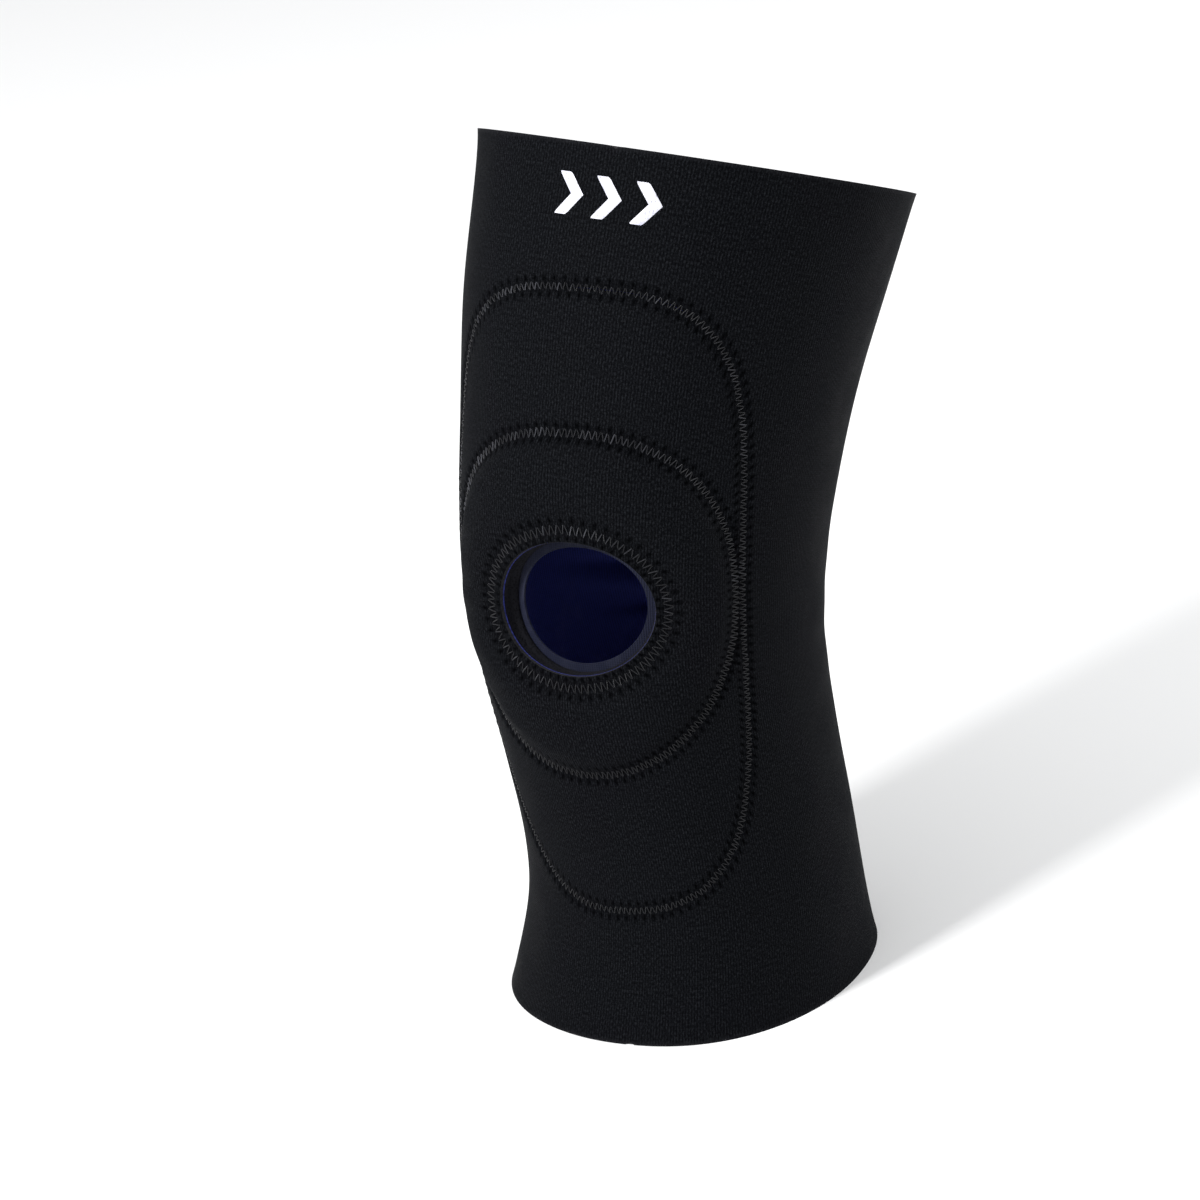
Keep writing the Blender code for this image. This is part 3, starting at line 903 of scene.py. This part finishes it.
def seam_shade(n, seam):
    """1 along the pressed-in line of a seam, where the face is painted darker as shade."""
    _, offset, _ = n.attribute(seam)
    return n.ramp(n.math("ABSOLUTE", offset), 0.0, 3.4, 1.0, 0.0)


def face_material(name, seams):
    """Black nylon jersey: upright ribs, a soft sheen, painted highlights on the rib tops, painted shade in
    the grooves, along the seams and in the hollows beside them, lint and slight fading.
    """
    n = Nodes(name)
    x, y, hem = n.attribute("cloth")
    knit = jersey_height(n, x, y, WALE, COURSE)
    pits = shade = None
    for seam, reach in seams:
        found, line = stitch_pits(n, seam, reach), seam_shade(n, seam)
        pits = found if pits is None else n.math("MAXIMUM", pits, found)
        shade = line if shade is None else n.math("MAXIMUM", shade, line)
    patchy = n.noise(55.0, 3.0)
    stretched = n.add("ShaderNodeCombineXYZ")
    n.put(stretched.inputs["X"], n.math("MULTIPLY", x, 2.0))
    n.put(stretched.inputs["Y"], n.math("MULTIPLY", y, 0.9))
    # Painted highlight: pale flecks along the rib tops, where the filaments catch the light.
    glint_noise = n.noise(1.0, 2.0, 0.6, stretched.outputs[0])
    on_ribs = n.ramp(knit, 0.2, 0.95, 0.25, 1.0)
    rib_highlight = n.math("MULTIPLY", n.ramp(glint_noise, 0.44, 0.68, 0.0, 0.75), on_ribs)
    base = n.mix(patchy, (0.0015, 0.0017, 0.0023), (0.0029, 0.0032, 0.0042))
    # Painted shade: darker in the grooves between the ribs.
    base = n.mix(n.ramp(knit, 0.0, 1.1), (0.0010, 0.0010, 0.0014), base)
    base = n.mix(rib_highlight, base, (0.0132, 0.0145, 0.0172))
    lint = n.ramp(n.noise(2600.0, 0.0), 0.82, 0.88)
    base = n.mix(n.math("MULTIPLY", lint, 0.30), base, (0.06, 0.06, 0.065))
    worn_hem = n.math("ADD", hem, n.ramp(n.noise(900.0, 2.0, 0.6), 0.3, 0.7, -0.6, 0.6))
    base = n.mix(n.ramp(worn_hem, 0.0, 1.8, 0.5, 0.0), base, (0.0125, 0.0125, 0.0145))
    # Painted shade along the pressed-in lines of the seams.
    base = n.mix(n.math("MULTIPLY", shade, 0.55), base, (0.0008, 0.0008, 0.0011))
    # Painted shade in the drawn-in hollows beside the seams.
    base = n.mix(n.math("MULTIPLY", pits, 0.85), base, (0.0003, 0.0003, 0.0004))
    normal = n.bump(n.noise(420.0, 3.0, 0.6), 0.00012, 0.5)
    normal = n.bump(knit, 0.00012, 0.8, normal)
    normal = n.bump(n.math("MULTIPLY", pits, -1.0), 0.0005, 0.8, normal)
    n.shader.inputs["Sheen Weight"].default_value = 0.009
    n.shader.inputs["Sheen Roughness"].default_value = 0.42
    n.shader.inputs["Sheen Tint"].default_value = (0.80, 0.82, 0.92, 1.0)
    level = n.ramp(n.math("MAXIMUM", pits, n.math("MULTIPLY", shade, 0.6)), 0.0, 1.0, 0.012, 0.0)
    n.put(n.shader.inputs["Specular IOR Level"], level)
    return n.finish(base_color=base, roughness=n.ramp(patchy, 0.3, 0.7, 0.56, 0.70), normal=normal)


def foam_material(name, dark, light, cell_scale):
    """Closed-cell foam: matt, with small open cells on the cut, painted darker inside as shade."""
    n = Nodes(name)
    cells = n.add("ShaderNodeTexVoronoi", feature="F1")
    cells.inputs["Scale"].default_value = cell_scale
    n.put(cells.inputs["Vector"], n.add("ShaderNodeTexCoord").outputs["Object"])
    hollow = n.ramp(cells.outputs["Distance"], 0.1, 0.55)
    # Painted shade in the open cells.
    base = n.mix(hollow, dark, light)
    base = n.mix(n.ramp(n.noise(160.0, 3.0), 0.35, 0.65, 0.0, 0.35), base, dark)
    normal = n.bump(hollow, 0.00018, 0.6)
    n.shader.inputs["Specular IOR Level"].default_value = 0.10
    return n.finish(base_color=base, roughness=0.88, normal=normal)


def lining_material(name, dark, light, rubbed_colour):
    """Royal blue nylon jersey with its own ribs, painted shade in the grooves between them, and slight
    rubbing.
    """
    n = Nodes(name)
    x, y, _ = n.attribute("cloth")
    knit = jersey_height(n, x, y, 1.05, 0.9)
    # Painted shade: darker in the grooves between the ribs.
    base = n.mix(n.ramp(knit, 0.0, 1.1), dark, light)
    rubbing_and_glint = n.ramp(n.noise(70.0, 4.0, 0.65), 0.5, 0.75, 0.0, 0.35)
    base = n.mix(rubbing_and_glint, base, rubbed_colour)
    normal = n.bump(knit, 0.00012, 0.7)
    n.shader.inputs["Sheen Weight"].default_value = 0.05
    n.shader.inputs["Sheen Roughness"].default_value = 0.4
    n.shader.inputs["Sheen Tint"].default_value = (0.6, 0.65, 1.0, 1.0)
    n.shader.inputs["Specular IOR Level"].default_value = 0.18
    return n.finish(base_color=base, roughness=0.72, normal=normal)


def thread_material(name):
    """Twisted polyester thread, slightly shiny, painted darker in the grooves of its twist, with painted
    highlights on its stitches along the upper seams.
    """
    n = Nodes(name)
    along, turn, leg = n.attribute("strand")
    twist = n.math("SINE", n.math("ADD", n.math("MULTIPLY", along, 2 * math.pi / 0.55), turn))
    # Painted shade and highlight: darker in the grooves of the twist, paler on its crests.
    base = n.mix(n.ramp(twist, -1.0, 1.0), (0.002, 0.002, 0.003), (0.0085, 0.009, 0.011))
    stitch = n.math("FLOOR", leg)
    chance = n.add("ShaderNodeTexWhiteNoise", noise_dimensions="1D")
    n.put(chance.inputs["W"], stitch)
    place = n.add("ShaderNodeSeparateXYZ")
    n.put(place.inputs[0], n.add("ShaderNodeTexCoord").outputs["Object"])
    # Painted highlight on the stitches: paler higher up and towards -x, in patches and from stitch to stitch,
    # and dimmer on every returning leg, which faces away from the light.
    rubbing_and_glint = n.ramp(place.outputs[2], 0.135, 0.195, 0.10, 1.0)
    rubbing_and_glint = n.math("MULTIPLY", rubbing_and_glint, n.ramp(place.outputs[0], -0.010, 0.025, 1.0, 0.45))
    rubbing_and_glint = n.math("MULTIPLY", rubbing_and_glint, n.ramp(n.noise(38.0, 2.0), 0.38, 0.60, 0.15, 1.0))
    returning = n.math("MODULO", stitch, 2.0)
    rubbing_and_glint = n.math("MULTIPLY", rubbing_and_glint, n.ramp(returning, 0.0, 1.0, 1.0, 0.3))
    pale = n.math("MULTIPLY", n.ramp(chance.outputs["Value"], 0.15, 0.9), rubbing_and_glint)
    base = n.mix(pale, base, (0.060, 0.062, 0.073))
    normal = n.bump(twist, 0.00006, 0.8)
    n.shader.inputs["Specular IOR Level"].default_value = 0.13
    n.shader.inputs["Sheen Weight"].default_value = 0.05
    return n.finish(base_color=base, roughness=0.38, normal=normal)


def print_material(name):
    """Silver-white transfer print that lets the ribs show and is worn through in places."""
    n = Nodes(name)
    x, y, _ = n.attribute("cloth")
    knit = jersey_height(n, x, y, WALE, COURSE)
    base = n.mix(n.ramp(n.noise(190.0, 3.0), 0.35, 0.7), (0.66, 0.66, 0.71), (0.40, 0.40, 0.50))
    between_ribs = n.ramp(knit, 0.0, 0.5, 1.25, 1.0)
    worn = n.ramp(n.math("MULTIPLY", n.noise(1400.0, 3.0, 0.7), between_ribs), 0.60, 0.70)
    base = n.mix(n.math("MULTIPLY", worn, 0.7), base, (0.09, 0.09, 0.11))
    normal = n.bump(knit, 0.00005, 0.5)
    return n.finish(base_color=base, roughness=n.ramp(worn, 0.0, 1.0, 0.38, 0.7), normal=normal)


# ---- Stage ---------------------------------------------------------------------------------------------


def plain_material(name, colour, roughness):
    n = Nodes(name)
    n.shader.inputs["Specular IOR Level"].default_value = 0.2
    return n.finish(base_color=(*colour, 1.0), roughness=roughness)


def build_floor():
    mesh = bpy.data.meshes.new("floor")
    half = 6.0
    corners = [(-half, -half, 0), (half, -half, 0), (half, half, 0), (-half, half, 0)]
    mesh.from_pydata(corners, [], [(0, 1, 2, 3)])
    mesh.materials.append(plain_material("pale_floor", (0.88, 0.88, 0.88), 0.9))
    floor = bpy.data.objects.new("floor", mesh)
    bpy.context.scene.collection.objects.link(floor)


def add_light(name, place, target, size, power):
    light = bpy.data.lights.new(name, "AREA")
    light.shape = "RECTANGLE"
    light.size, light.size_y = size
    light.energy = power
    lamp = bpy.data.objects.new(name, light)
    lamp.location = place
    lamp.rotation_mode = "QUATERNION"
    lamp.rotation_quaternion = (Vector(target) - Vector(place)).to_track_quat("-Z", "Y")
    bpy.context.scene.collection.objects.link(lamp)


def build_lights():
    knee = (0.0, 0.0, 0.16)
    add_light("key", (-0.85, -1.5, 1.4), knee, (0.45, 0.45), 56)
    add_light("rim", (1.45, 0.95, 0.7), knee, (0.4, 1.4), 22)
    add_light("overhead", (0.1, 0.1, 2.4), knee, (2.2, 2.2), 8)
    world = bpy.data.worlds.new("studio")
    world.use_nodes = True
    world.node_tree.nodes["Background"].inputs["Color"].default_value = (0.98, 0.99, 1.0, 1.0)
    world.node_tree.nodes["Background"].inputs["Strength"].default_value = 0.66
    bpy.context.scene.world = world
    bpy.context.scene.view_settings.view_transform = "Standard"


def build_camera():
    """A long lens from the front and the outer side, a little above, tilted as a hand-held shot is."""
    azimuth, elevation, roll = math.radians(24), math.radians(23), math.radians(-7.6)
    distance = 1.75
    target = Vector((0.0022, -0.0458, 0.1664)) + Vector(OFFSET)
    back = Vector(
        (
            math.sin(azimuth) * math.cos(elevation),
            -math.cos(azimuth) * math.cos(elevation),
            math.sin(elevation),
        )
    )
    level = Vector((math.cos(azimuth), math.sin(azimuth), 0))
    upright = back.cross(level)
    right = level * math.cos(roll) + upright * math.sin(roll)
    up = upright * math.cos(roll) - level * math.sin(roll)
    camera = bpy.data.objects.new("camera", bpy.data.cameras.new("camera"))
    camera.data.lens = 148.6
    camera.data.sensor_width = 36
    turned = Matrix((right, up, back)).transposed().to_4x4()
    camera.matrix_world = Matrix.Translation(target + back * distance) @ turned
    bpy.context.scene.collection.objects.link(camera)
    bpy.context.scene.camera = camera


# ---- The brace -----------------------------------------------------------------------------------------


def build_panels(materials):
    """Both panels' three plies."""
    for prefix, grid, edge_rows, outline, hole in (
        ("front", front_grid(), (0.55, 0.28, 0.08), oval(WINDOW), oval(OPENING)),
        ("wrap", wrap_grid(), (), EDGE, oval(WINDOW)),
    ):
        face_name, lining_name = f"{prefix}_face_fabric", f"{prefix}_lining_fabric"
        inside = coarser(grid)
        plies = (
            build_face(face_name, grid, edge_rows, materials[f"{prefix}_face"], f"{prefix}_face"),
            build_core(f"{prefix}_foam", inside, materials["core"], f"{prefix}_core"),
            build_lining(lining_name, inside, materials["lining"], f"{prefix}_lining"),
        )


def build_backing(material):
    """The ring that closes the pad's pocket, with its lip inside the opening."""
    rays = RAYS[::2]
    lip = [oval(OPENING, g * MM - LIP_WIDTH, rays) for g in (0.0, 0.4, 1.0, 1.8, 2.6, 3.6, 5.0, 6.6, 8.6)]
    inner, outer = lip[-1], oval(PAD_SEAM, -4 * MM, rays)
    rows = lip + [inner + (outer - inner) * s for s in np.linspace(0, 1, 14)[1:]]
    rows += [oval(PAD_SEAM, g, rays) for g in (-2.5 * MM, -1.2 * MM, 0.0, BACKING_MARGIN)]
    grid = np.array(rows)
    across, up = grid[..., 0], grid[..., 1]
    depths = backing_depth(across, up)
    mesh = shell_mesh(
        "pad_backing_fabric",
        on_sleeve(across, up, depths),
        on_sleeve(across, up, depths + BACKING),
        True,
        cloth_attributes(grid),
    )
    piece = add_piece("pad_backing_fabric", mesh, material, "blue_lining", "pad_backing")
    return piece


def build_threads(material):
    """The three ring seams' needle threads on the face, then their looper threads inside."""
    window, pad, opening = oval(WINDOW), oval(PAD_SEAM), oval(OPENING, OPENING_SEAM_OFFSET)
    for seam, kind, path, pitch, width, surface in (
        ("window", "needle", window, 2.2, 3.8, face_depth),
        ("pad", "needle", pad, 2.2, 4.4, face_depth),
        ("opening", "needle", opening, 2.7, 4.7, face_depth),
        ("window", "looper", window, 2.7, 4.0, inner_depth),
        ("pad", "looper", oval(PAD_SEAM, -SEAM_HELD), 2.7, 3.4, backing_inner_depth),
        ("opening", "looper", opening, 3.3, 4.0, backing_inner_depth),
    ):
        name, node = f"{seam}_{kind}_thread", f"{seam}_seam_{kind}_thread"
        build_thread(name, node, path, pitch * MM, width * MM, surface, material)


def build_back_threads(material):
    """The back seam's threads cross from one edge of the wrap to the other."""
    low, high = BOTTOM_EDGE + BACK_MARGIN, TOP_EDGE - BACK_MARGIN
    for name, node, inside in (
        ("back_needle_thread", "back_seam_needle_thread", False),
        ("back_looper_thread", "back_seam_looper_thread", True),
    ):
        steps = 2 * int((high - low) / BACK_PITCH)
        share = np.arange(steps * LEG_POINTS) / LEG_POINTS
        height = low + (high - low) * share / steps
        phase = share % 2
        swing = np.where(phase < 1, 1 - 2 * phase, 2 * phase - 3) * BACK_SWING
        across = np.where(swing >= 0, HALF_GIRTH - swing, -HALF_GIRTH - swing)
        arch = np.sin(math.pi * (share % 1)) ** ARCH_POWER
        if inside:
            depth = inner_depth(across, height) - SUNK + (SUNK + STANDING) * arch
        else:
            depth = face_depth(across, height) + SUNK - (SUNK + STANDING) * arch
        line = on_sleeve(across, height, depth)
        add_piece(name, tube_mesh(name, line, THREAD_RADIUS, False), material, "black_thread", node)


PUFF = simulated_puff()


def build_brace():
    thread = thread_material("black_thread")
    silver = print_material("silver_print")
    materials = {
        "front_face": face_material(
            "front_jersey", [("window_seam", 2.9), ("pad_seam", 2.9), ("opening_seam", 3.3)]
        ),
        "wrap_face": face_material("wrap_jersey", [("window_seam", 2.9), ("back_seam", 2.9)]),
        "core": foam_material("neoprene_foam", (0.008, 0.008, 0.009), (0.022, 0.022, 0.024), 1500.0),
        "lining": lining_material(
            "blue_jersey", (0.008, 0.011, 0.065), (0.024, 0.032, 0.20), (0.050, 0.056, 0.19)
        ),
        "backing": lining_material(
            "backing_jersey", (0.003, 0.004, 0.010), (0.008, 0.010, 0.027), (0.030, 0.032, 0.050)
        ),
    }
    build_panels(materials)
    pad = build_pad(foam_material("pad_foam", (0.002, 0.002, 0.003), (0.009, 0.009, 0.012), 1100.0))
    build_backing(materials["backing"])
    build_threads(thread)
    build_back_threads(thread)
    for place, which in ((-1, "inner"), (0, "middle"), (1, "outer")):
        build_chevron(f"chevron_print_{which}", f"badge_chevron_{which}", place, silver)


build_brace()
build_floor()
build_lights()
build_camera()
